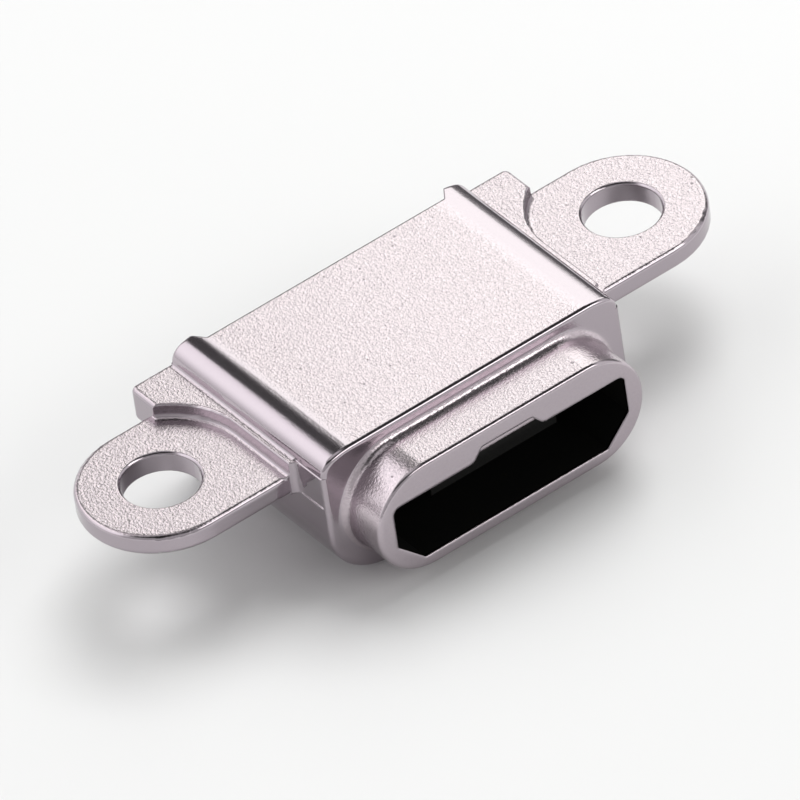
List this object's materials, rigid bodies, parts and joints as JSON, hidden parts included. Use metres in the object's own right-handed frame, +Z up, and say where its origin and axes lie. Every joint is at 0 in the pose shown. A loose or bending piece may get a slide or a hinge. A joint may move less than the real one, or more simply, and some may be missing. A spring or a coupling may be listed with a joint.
{
  "type": "charging port connector",
  "caption": "Moulded metal charging socket with two screw ears, an oval nose and a wide D-shaped mouth with a contact tongue inside.",
  "frame": {"origin": "on the under side of the ears, midway between the two screw hole axes", "axes": "+X from ear to ear, -Y out of the mouth, +Z up through the screw holes"},
  "size_m": [0.018, 0.0081, 0.0039],
  "materials": {
    "shell_metal": "satin, finely pebbled, warm grey nickel tone",
    "insulator_plastic": "black moulded plastic, slightly glossy",
    "contact_gold": "thin gold plating on a stamped strip"
  },
  "bodies": {
    "root": {"shell": "shell_metal", "insulator": "insulator_plastic", "contact_power": "contact_gold", "contact_data_minus": "contact_gold", "contact_data_plus": "contact_gold", "contact_ident": "contact_gold", "contact_ground": "contact_gold"}
  },
  "joints": []
}
